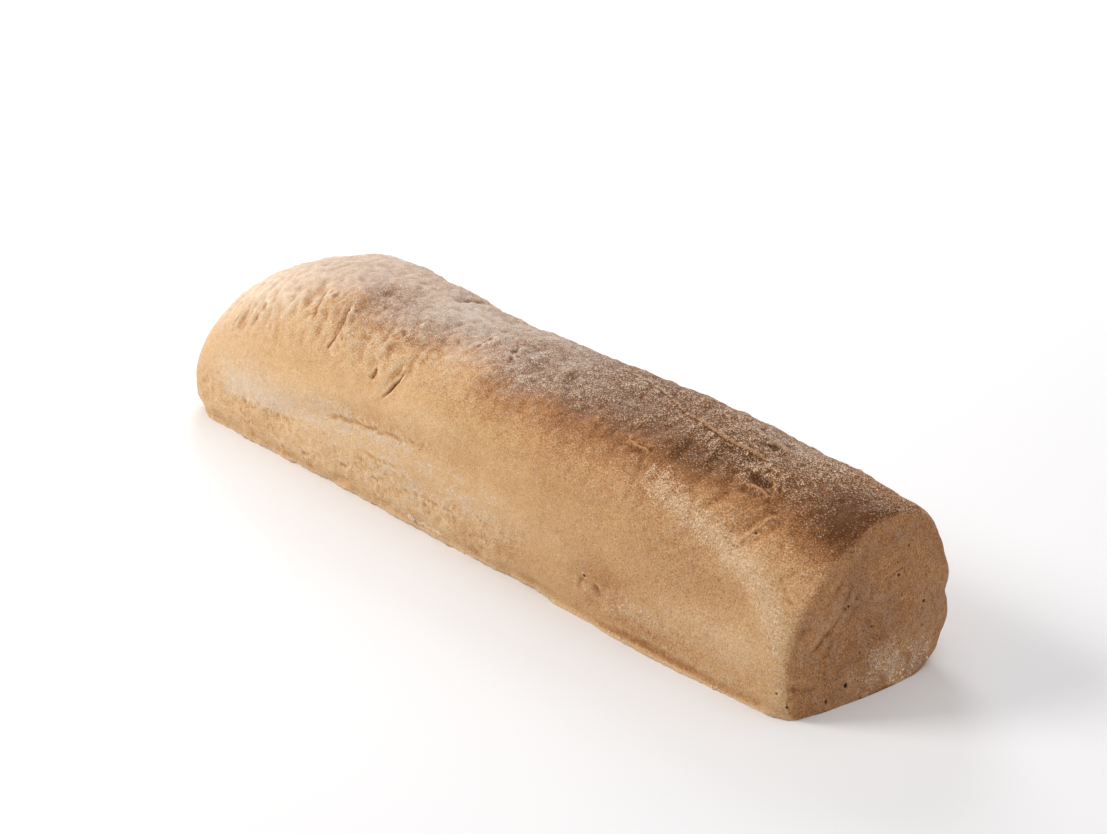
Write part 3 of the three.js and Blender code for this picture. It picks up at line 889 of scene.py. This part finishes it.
def low_band_flour(skin):
    """How much flour lies in streaks on the rough band under the seam, from 0 to 1."""
    around = smoothstep(76, 90, skin.turns) * (1 - smoothstep(-5, 2, skin.turns - skin.along(LOW_FLOUR_TOP)))
    streaks = 0.35 + 0.9 * skin.wrinkles(9 * MM, 3.5 * MM, 25) + 0.7 * skin.lumps(2.5 * MM, 26)
    return window(skin.places, *LOW_FLOUR_PLACES) * around * np.clip(streaks, 0, 1)


def curvature(skin, edges):
    """How hollow each point of the skin is, above zero, or how proud, below it, about from -1 to 1."""
    first, second = edges.T
    count = len(skin.points)
    degree = np.bincount(first, minlength=count) + np.bincount(second, minlength=count)
    span = skin.points[second] - skin.points[first]
    length = np.linalg.norm(span, axis=1)
    bend_first = (span * skin.normals[first]).sum(1) / length ** 2
    bend_second = -(span * skin.normals[second]).sum(1) / length ** 2
    bend = np.bincount(first, bend_first, count) + np.bincount(second, bend_second, count)
    bend = bend / degree
    for smoothing in range(3):
        bend_sum = np.bincount(first, bend[second], count) + np.bincount(second, bend[first], count)
        bend = 0.5 * bend + 0.5 * bend_sum / degree
    return np.clip(bend * HOLLOW_SIZE, -1, 1)


def crown_share(skin):
    """How much of the baked crown shows at each point, from 0 on the walls to 1 on top."""
    turn = skin.turns + 4 * skin.lumps(24 * MM, 3) + 3 * skin.lumps(8 * MM, 4)
    return smoothstep(-20, 17, turn - skin.along(CROWN_EDGE)) * (1 - smoothstep(206, 232, turn))


def dusted_share(skin, start, full):
    """How floury the top of the loaf is, from 0 to 1, between two turns that change from place to place."""
    turn = skin.turns + 5 * skin.lumps(24 * MM, 23) + 4 * skin.lumps(8 * MM, 24)
    return window(turn, skin.along(start), skin.along(full), 215, 245)


def dusted_lines(skin, dust):
    """How much of a veil, and of grains, the lines of flour leave on each point of the skin."""
    veil = np.zeros(len(skin.points))
    grains = np.zeros(len(skin.points))
    for name, line in FLOUR_LINES.items():
        share = swell(distance_to(skin, dust[name]), line.reach * MM)
        veil = np.maximum(veil, line.veil * share)
        grains = np.maximum(grains, line.grains * share)
    return veil, grains


def end_flour(skin):
    """How much flour lies low on the right of the flat end, from 0 to 1."""
    across = skin.points[:, 1] - 7 * MM
    up = skin.points[:, 2] - 8 * MM
    ragged = np.clip(0.8 + 0.9 * skin.lumps(7 * MM, 42) + 0.5 * skin.lumps(2.5 * MM, 43), 0, 1.4)
    return skin.on_end * swell(across, 17 * MM) * swell(up, 8 * MM) * ragged


def paint_browning_and_shade(skin, hollow):
    """How far each point of the skin is baked, from 0 to 1, with painted shade in its hollows and painted
    light on its proud tops.
    """
    amount = skin.along(WALL_BAKE) + 0.09 * window(skin.turns, *BAKED_TURNS)
    amount = amount + crown_share(skin) * skin.along(CROWN_BAKE) + skin.patches(BROWN_AND_SHADE_PATCHES)
    amount = amount + 0.08 * low_band(skin) * (skin.lumps(7 * MM, 44) + 0.8 * skin.lumps(2.5 * MM, 45))
    amount = amount - 0.12 * np.minimum(skin.patches(CORNER_BAND), 1)
    # Painted light: the flat end is painted a little paler up high and towards the back, where the lamps
    # graze it.
    lit_side = smoothstep(-8 * MM, 20 * MM, skin.points[:, 1])
    lit_side = lit_side * smoothstep(10 * MM, 40 * MM, skin.points[:, 2])
    mottle = 0.10 * skin.lumps(14 * MM, 41) + 0.07 * skin.lumps(3 * MM, 46)
    amount = skin.with_end(amount, END_BAKE + mottle - 0.03 * lit_side) - 0.2 * end_flour(skin)
    # Painted shade: hollows are painted browner and proud tops paler, more so on the left shoulder and less
    # along the seam.
    shoulder = skin.left * smoothstep(116, 130, skin.turns)
    return amount + (0.20 + 0.16 * shoulder - 0.04 * seam_share(skin)) * hollow


def paint_haze_and_sheen(skin, hollow, veil):
    """How much of a thin veil of flour dulls each point of the skin, from 0 to 1, with painted sheen toward
    the back of the crown's right half, and with less of it in hollows and more on proud tops, which is partly
    where flour lies and partly painted shade and light.
    """
    amount = dusted_share(skin, HAZE_START, HAZE_FULL) * skin.along(TOP_HAZE)
    amount = amount + 0.18 * smoothstep(-0.45, -0.85, skin.places) * window(skin.turns, *WALL_TURNS)
    # Painted sheen: the veil grows paler toward the back of the crown's right half, as flour glows there when
    # seen at a glancing angle.
    amount = amount + 0.12 * window(skin.turns, *PAINTED_SHEEN_TURNS) * smoothstep(0.3, 0.6, skin.places)
    patchy = 0.9 + 0.4 * skin.wrinkles(12 * MM, 6 * MM, 27) + 0.3 * skin.lumps(3 * MM, 28)
    kept = np.where(skin.places < -0.2, over_flour_step(skin), 1)
    amount = amount + skin.patches(HAZE_PATCHES) + veil * np.clip(patchy, 0, 1.3) * kept
    amount = skin.with_end(amount + 0.26 * low_band_flour(skin), END_HAZE)
    # Partly painted shade and light: the veil thins in hollows and thickens on proud tops.
    return (amount + 0.10 * end_flour(skin)) * (1 - 0.6 * hollow)


def paint_flecks_and_shade(skin, hollow, grains):
    """How thickly grains of flour lie on each point of the skin, from 0 to 1, fewer in hollows and more on
    proud tops, which is partly where flour lies and partly painted shade and light.
    """
    top = dusted_share(skin, FLECKS_START, FLECKS_FULL) * skin.along(TOP_FLECKS) + skin.patches(CROWN_FLECKS)
    wall = skin.along(LOW_FLECKS) * (1 - window(skin.turns, *FLECKED_TURNS))
    wall = wall + 0.35 * low_band_flour(skin) + skin.patches(WALL_FLECKS)
    amount = skin.with_end(np.maximum(np.maximum(top, grains), wall), END_FLECKS)
    # Partly painted shade and light: fewer grains in hollows and more on proud tops.
    return (amount + skin.patch(SLASH_FLECKS) + 0.40 * end_flour(skin)) * (1 - 0.8 * hollow)


def paint_grit(skin):
    """How coarse the grain of each point of the skin is, from 0 to 1."""
    amount = 0.55 + 0.45 * window(skin.turns, *GRITTY_TURNS) + skin.patch(FOOT_GRIT)
    amount = amount + 0.3 * seam_share(skin) + 0.2 * smoothstep(0.4, 0.7, skin.places) + 0.3 * low_band(skin)
    return skin.with_end(amount, END_GRIT)


def paint_porous(skin):
    """How many fine pores show at each point of the skin, from 0 to 1."""
    low_wall = smoothstep(100, 88, skin.turns) * (skin.places < 0.45) * (skin.points[:, 1] < -8 * MM)
    return np.maximum(0.9 * skin.on_end, 0.5 * low_wall)


def store(mesh, name, values):
    """Keeps one number for each point of a mesh, for its material to read."""
    layer = mesh.attributes.new(name, "FLOAT", "POINT")
    layer.data.foreach_set("value", np.clip(values, 0, 1).astype(np.float32))


class Recipe:
    """The nodes of one material, joined as they are made."""

    def __init__(self, name):
        self.material = bpy.data.materials.new(name)
        self.material.use_nodes = True
        self.tree = self.material.node_tree
        self.tree.nodes.clear()
        self.place = self.node("ShaderNodeTexCoord").outputs["Object"]

    def node(self, kind, inputs=None, **settings):
        node = self.tree.nodes.new(kind)
        for name, value in settings.items():
            setattr(node, name, value)
        for name, value in (inputs or {}).items():
            if isinstance(value, bpy.types.NodeSocket):
                self.tree.links.new(value, node.inputs[name])
            else:
                node.inputs[name].default_value = value
        return node

    def attribute(self, name):
        return self.node("ShaderNodeAttribute", attribute_name=name).outputs["Fac"]

    def noise(self, size, detail=2.0):
        inputs = {"Vector": self.place, "Scale": 1 / size, "Detail": detail}
        return self.node("ShaderNodeTexNoise", inputs).outputs["Fac"]

    def pits(self, size):
        inputs = {"Vector": self.place, "Scale": 1 / size}
        return self.node("ShaderNodeTexVoronoi", inputs).outputs["Distance"]

    def grains(self, size, amount):
        """Ragged grains of one size over a share of the surface: up to 1 inside them, 0 between them."""
        waver = self.node("ShaderNodeTexNoise", {"Vector": self.place, "Scale": 1.6 / size, "Detail": 1.0})
        bend = {0: waver.outputs["Color"], 1: (0.8 * size,) * 3, 2: self.place}
        bent = self.node("ShaderNodeVectorMath", bend, operation="MULTIPLY_ADD")
        cells = self.node("ShaderNodeTexVoronoi", {"Vector": bent.outputs[0], "Scale": 1 / size})
        chances = self.node("ShaderNodeSeparateColor", {"Color": cells.outputs["Color"]})
        taken = self.math("LESS_THAN", chances.outputs["Red"], amount)
        inside = self.math("MULTIPLY", taken, self.remap(cells.outputs["Distance"], 0.6, 0.35))
        return self.math("MULTIPLY", inside, self.remap(chances.outputs["Green"], 0.0, 1.0, 0.45, 1.0))

    def math(self, operation, first, second):
        return self.node("ShaderNodeMath", {0: first, 1: second}, operation=operation).outputs[0]

    def sum(self, *terms):
        """Adds up sockets, each less its middle value and times its weight."""
        total = None
        for socket, weight, middle in terms:
            centred = self.math("SUBTRACT", socket, middle)
            term = self.math("MULTIPLY", centred, weight)
            total = term if total is None else self.math("ADD", total, term)
        return total

    def remap(self, value, low, high, to_low=0.0, to_high=1.0):
        inputs = {"Value": value, "From Min": low, "From Max": high, "To Min": to_low, "To Max": to_high}
        return self.node("ShaderNodeMapRange", inputs, interpolation_type="SMOOTHSTEP").outputs["Result"]

    def mix(self, share, first, second):
        """The second colour over the first one, by a share."""
        inputs = {MIX_SHARE: share, MIX_FIRST: first, MIX_SECOND: second}
        return self.node("ShaderNodeMix", inputs, data_type="RGBA").outputs[MIX_RESULT]

    def ramp(self, value, stops):
        node = self.node("ShaderNodeValToRGB", {"Fac": value})
        elements = node.color_ramp.elements
        while len(elements) < len(stops):
            elements.new(0.5)
        for element, (position, colour) in zip(elements, stops):
            element.position = position
            element.color = (*colour, 1)
        return node.outputs["Color"]

    def finish(self, **inputs):
        shader = self.node("ShaderNodeBsdfPrincipled", {k.replace("_", " "): v for k, v in inputs.items()})
        output = self.node("ShaderNodeOutputMaterial")
        self.tree.links.new(shader.outputs["BSDF"], output.inputs["Surface"])
        return self.material


def crust_material(colours):
    """Baked skin: mottled gold to chestnut, gritty, pitted and dusted with flour, with painted shade in its
    hollows and pores, painted light on its proud tops and painted sheen at the back of its crown.
    """
    recipe = Recipe("floury_crust")
    grit = recipe.attribute("grit")
    mottle = recipe.noise(26 * MM, 3)
    blotch = recipe.noise(7 * MM, 3)
    sand = recipe.noise(1.15 * MM, 2)
    grain = recipe.noise(0.5 * MM, 1)

    grainy = recipe.math("MULTIPLY", recipe.sum((sand, 0.25, 0.5), (grain, 1.0, 0.5)), grit)
    browning = recipe.attribute("browning")
    # The browning value holds painted shade in hollows and painted light on proud tops, which the ramp turns
    # into darker and paler skin.
    bake_and_shade = recipe.sum((browning, 1.0, 0.0), (mottle, 0.16, 0.5), (blotch, 0.10, 0.5))
    bake_and_shade = recipe.math("ADD", bake_and_shade, grainy)
    skin = recipe.ramp(bake_and_shade, [
        (0.05, colours.pale), (0.28, colours.gold), (0.50, colours.tan), (0.74, colours.chestnut),
        (1.0, colours.dark)])
    # Painted shade: small pits and open pores are painted near black.
    small_pores = recipe.remap(recipe.pits(2.1 * MM), 0.18, 0.07)
    small_pores = recipe.math("MULTIPLY", small_pores, recipe.attribute("porous"))
    pore = recipe.math("MAXIMUM", recipe.math("MULTIPLY", small_pores, 0.5), recipe.attribute("pore"))
    skin = recipe.mix(pore, skin, (*colours.pore, 1))

    flakes = recipe.noise(2.0 * MM, 4)
    scatter = recipe.sum((blotch, 0.45, 0.5), (mottle, 0.3, 0.5))
    # The haze value holds flour, painted sheen at the back of the crown, and painted shade and light over
    # hollows and tops.
    haze = recipe.attribute("haze")
    veil = recipe.sum((haze, 1.0, 0.0), (scatter, 0.7, 0.0), (flakes, 0.6, 0.5))
    veil = recipe.math("MULTIPLY", recipe.remap(veil, 0.05, 1.0, 0.0, 0.75), recipe.remap(haze, 0.0, 0.15))
    veil_colour = recipe.mix(recipe.remap(browning, 0.36, 0.6), (*colours.cream, 1), (*colours.flour, 1))
    skin = recipe.mix(veil, skin, veil_colour)
    flecks = recipe.attribute("flecks")
    flecked = recipe.math("MULTIPLY", flecks, recipe.remap(scatter, -0.2, 0.2, 0.6, 1.4))
    coarse = recipe.grains(0.52 * MM, flecked)
    fine = recipe.grains(0.38 * MM, flecked)
    clumps = recipe.grains(0.85 * MM, recipe.remap(flecked, 0.3, 0.6, 0.0, 0.3))
    specks = recipe.math("MAXIMUM", recipe.math("MAXIMUM", coarse, fine), clumps)
    speck_colour = recipe.mix(recipe.remap(haze, 0.05, 0.4), (*colours.fleck, 1), (*colours.flour, 1))
    solid = recipe.math(
        "MAXIMUM", recipe.remap(flecks, 0.12, 0.34, 0.3, 1.0), recipe.remap(browning, 0.55, 0.8, 0.0, 0.6))
    skin = recipe.mix(recipe.math("MULTIPLY", specks, solid), skin, speck_colour)
    skin = recipe.mix(recipe.math("MULTIPLY", recipe.attribute("bare"), 0.8), skin, (*colours.bare, 1))

    height = recipe.sum((grainy, 0.4, 0.0), (specks, 0.5, 0.0), (small_pores, -0.8, 0.0))
    bump = recipe.node("ShaderNodeBump", {"Strength": 0.8, "Distance": 0.5 * MM, "Height": height})
    return recipe.finish(
        Base_Color=skin, Roughness=recipe.remap(veil, 0.0, 0.6, 0.65, 0.92), Normal=bump.outputs["Normal"],
        Specular_IOR_Level=0.08, Sheen_Weight=recipe.remap(haze, 0.1, 0.7, 0.0, 0.15), Sheen_Roughness=0.5)


def flour_material(colours):
    """Dry flour, from cream to white."""
    recipe = Recipe("dry_flour")
    tone = recipe.noise(4 * MM, 2)
    colour = recipe.ramp(tone, [(0.45, colours.fleck), (0.85, colours.flour)])
    return recipe.finish(Base_Color=colour, Roughness=0.95, Specular_IOR_Level=0.15)


class CIABATTA_OT_crust(bpy.types.Operator):
    """Builds the creased crust over the packed loaf"""
    bl_idname = "ciabatta.make_crust"
    bl_label = "Make crust"

    def execute(self, context):
        settings = context.scene.ciabatta_crust
        draws = np.random.default_rng(settings.seed)
        piece = subdivided(merged_loaf(), "crust")
        mesh = piece.data
        bm = bmesh.new()
        bm.from_mesh(mesh)
        tree = BVHTree.FromBMesh(bm)
        lines = traced_lines(tree, draws)
        pores = pore_centres(tree, settings, draws)
        dust = {name: traced(tree, line, side_point) for name, line in FLOUR_LINES.items()}
        refine(bm, lines, pores)
        bm.to_mesh(mesh)
        bm.free()

        skin = Skin(mesh)
        lined, bare = line_relief(skin, lines)
        pitted = pore_relief(skin, pores)
        height = lined + folded_relief(skin, settings) + skin.patches(CROWN_RISES) * MM - pitted
        points = raised(skin, height)
        mesh.vertices.foreach_set("co", points.astype(np.float32).ravel())
        mesh.update()

        edges = np.empty(len(mesh.edges) * 2, np.int32)
        mesh.edges.foreach_get("vertices", edges)
        edges = edges.reshape(-1, 2)
        hollow = np.maximum(curvature(Skin(mesh), edges), skin.on_end - 1)
        veil, grains = dusted_lines(skin, dust)
        # The browning, haze and flecks hold painted shade in hollows and painted light on proud tops; the
        # haze also holds painted sheen.
        store(mesh, "browning", paint_browning_and_shade(skin, hollow))
        store(mesh, "haze", paint_haze_and_sheen(skin, hollow, veil))
        store(mesh, "flecks", paint_flecks_and_shade(skin, hollow, grains) * (1 - 0.8 * bare))
        store(mesh, "grit", paint_grit(skin))
        store(mesh, "bare", bare)
        # Painted shade: the near-black inside of the pores, by their depth.
        store(mesh, "pore", smoothstep(0.12 * MM, 0.36 * MM, pitted))
        store(mesh, "porous", paint_porous(skin))
        mesh.shade_smooth()
        on_floor = points[:, 2] < 0.01 * MM
        rim = mesh.attributes.new("sharp_edge", "BOOLEAN", "EDGE")
        rim.data.foreach_set("value", on_floor[edges].all(1))
        mesh.materials.clear()
        mesh.materials.append(crust_material(context.scene.ciabatta_colours))
        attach(piece, "root")
        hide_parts("loaf")
        return {"FINISHED"}


class CIABATTA_OT_flour(bpy.types.Operator):
    """Scatters flour grains where the crust is dusted"""
    bl_idname = "ciabatta.dust_flour"
    bl_label = "Dust flour"

    def execute(self, context):
        settings = context.scene.ciabatta_flour
        crust = bpy.data.objects.get("crust")
        if crust is None:
            raise RuntimeError("make the crust before dusting it")
        bm = bmesh.new()
        bmesh.ops.create_icosphere(bm, subdivisions=1, radius=1.0)
        shape = np.array([vert.co for vert in bm.verts])
        corners = np.array([[vert.index for vert in face.verts] for face in bm.faces])
        bm.free()

        skin = Skin(crust.data)
        flour = np.empty(len(skin.points), np.float32)
        crust.data.attributes["flecks"].data.foreach_get("value", flour)
        draws = np.random.default_rng(settings.seed)
        weight = Skin.areas(crust.data) * np.maximum(flour - GRAIN_FLOUR, 0) ** 2
        weight = weight * (skin.points[:, 2] > 0.5 * MM)
        chosen = draws.choice(len(weight), settings.grain_count, p=weight / weight.sum())
        count = len(chosen)
        flaky = 1 + 2 * (skin.points[chosen, 2:] < FLAKE_HEIGHT) + 0.8 * skin.on_end[chosen, None]
        sizes = settings.grain_size * flaky * draws.uniform(0.6, 1.5, (count, 1))
        sizes = sizes * draws.uniform(0.6, 1.3, (count, 3))
        turns = draws.uniform(0, 2 * math.pi, (count, 3))
        slide = draws.normal(0, GRAIN_SLIDE, (count, 3))
        normals = skin.normals[chosen]
        slide = slide - normals * (slide * normals).sum(1, keepdims=True)
        middles = skin.points[chosen] + slide
        grains = np.empty((count, len(shape), 3))
        for index in range(count):
            spun = np.array(Euler(turns[index]).to_matrix())
            grains[index] = middles[index] + (shape * sizes[index]) @ spun.T
        grains[:, :, 2] = np.maximum(grains[:, :, 2], 0)
        faces = corners[None] + (np.arange(count) * len(shape))[:, None, None]
        mesh = bpy.data.meshes.new("flour_grains")
        mesh.from_pydata(grains.reshape(-1, 3).tolist(), [], faces.reshape(-1, 3).tolist())
        mesh.shade_smooth()
        mesh.materials.append(flour_material(context.scene.ciabatta_colours))
        piece = bpy.data.objects.new("flour_grains", mesh)
        context.scene.collection.objects.link(piece)
        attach(piece, "root")
        return {"FINISHED"}


def soft_light(name, lamp, power):
    """Hangs up a wide lamp that looks at a point."""
    data = bpy.data.lights.new(name, "AREA")
    data.shape = "SQUARE"
    data.size = lamp.size
    data.energy = power
    data.color = lamp.colour
    light = bpy.data.objects.new(name, data)
    light.location = lamp.place
    light.rotation_euler = (Vector(lamp.target) - Vector(lamp.place)).to_track_quat("-Z", "Y").to_euler()
    bpy.context.scene.collection.objects.link(light)


class CIABATTA_OT_stage(bpy.types.Operator):
    """Lays a pale floor under soft light and sets up the camera"""
    bl_idname = "ciabatta.set_stage"
    bl_label = "Set stage"

    def execute(self, context):
        scene = context.scene
        settings = scene.ciabatta_stage
        bm = bmesh.new()
        bmesh.ops.create_grid(bm, x_segments=1, y_segments=1, size=settings.floor_size / 2)
        mesh = bpy.data.meshes.new("floor")
        bm.to_mesh(mesh)
        bm.free()
        recipe = Recipe("pale_floor")
        mesh.materials.append(recipe.finish(
            Base_Color=(*settings.floor_colour, 1), Roughness=0.9, Specular_IOR_Level=0.1))
        floor = bpy.data.objects.new("floor", mesh)
        scene.collection.objects.link(floor)

        world = bpy.data.worlds.new("even_light")
        world.use_nodes = True
        sky = world.node_tree.nodes["Background"]
        sky.inputs["Color"].default_value = (1, 1, 1, 1)
        sky.inputs["Strength"].default_value = settings.sky_strength
        scene.world = world
        for name, lamp in LAMPS.items():
            soft_light(name, lamp, getattr(settings, f"{name}_power"))

        lens = bpy.data.cameras.new("camera")
        lens.lens = settings.lens
        camera = bpy.data.objects.new("camera", lens)
        camera.location = settings.camera_place
        camera.rotation_euler = (math.pi / 2 - settings.camera_rise, 0, settings.camera_turn)
        scene.collection.objects.link(camera)
        scene.camera = camera
        scene.view_settings.view_transform = "Standard"
        return {"FINISHED"}


class CIABATTA_PT_bakery(bpy.types.Panel):
    """Lists the loaf's settings and the steps that build it"""
    bl_idname = "CIABATTA_PT_bakery"
    bl_label = "Ciabatta"
    bl_space_type = "VIEW_3D"
    bl_region_type = "UI"
    bl_category = "Bakery"

    def draw(self, context):
        for pointer, settings_class in SETTINGS.items():
            box = self.layout.box()
            box.label(text=settings_class.__doc__)
            for name in settings_class.__annotations__:
                box.prop(getattr(context.scene, pointer), name)
        for operator in OPERATORS:
            self.layout.operator(operator.bl_idname)


SETTINGS = {
    "ciabatta_crust": CrustSettings,
    "ciabatta_colours": CrustColours,
    "ciabatta_flour": FlourSettings,
    "ciabatta_stage": StageSettings,
}
OPERATORS = (CIABATTA_OT_crust, CIABATTA_OT_flour, CIABATTA_OT_stage)
CLASSES = (*SETTINGS.values(), *OPERATORS, CIABATTA_PT_bakery)


def register():
    for item in CLASSES:
        bpy.utils.register_class(item)
    for pointer, settings_class in SETTINGS.items():
        setattr(bpy.types.Scene, pointer, PointerProperty(type=settings_class))


def unregister():
    for pointer in SETTINGS:
        delattr(bpy.types.Scene, pointer)
    for item in reversed(CLASSES):
        bpy.utils.unregister_class(item)


def main():
    register()
    bpy.ops.ciabatta.make_crust()
    bpy.ops.ciabatta.dust_flour()
    bpy.ops.ciabatta.set_stage()


if __name__ == "__main__":
    main()
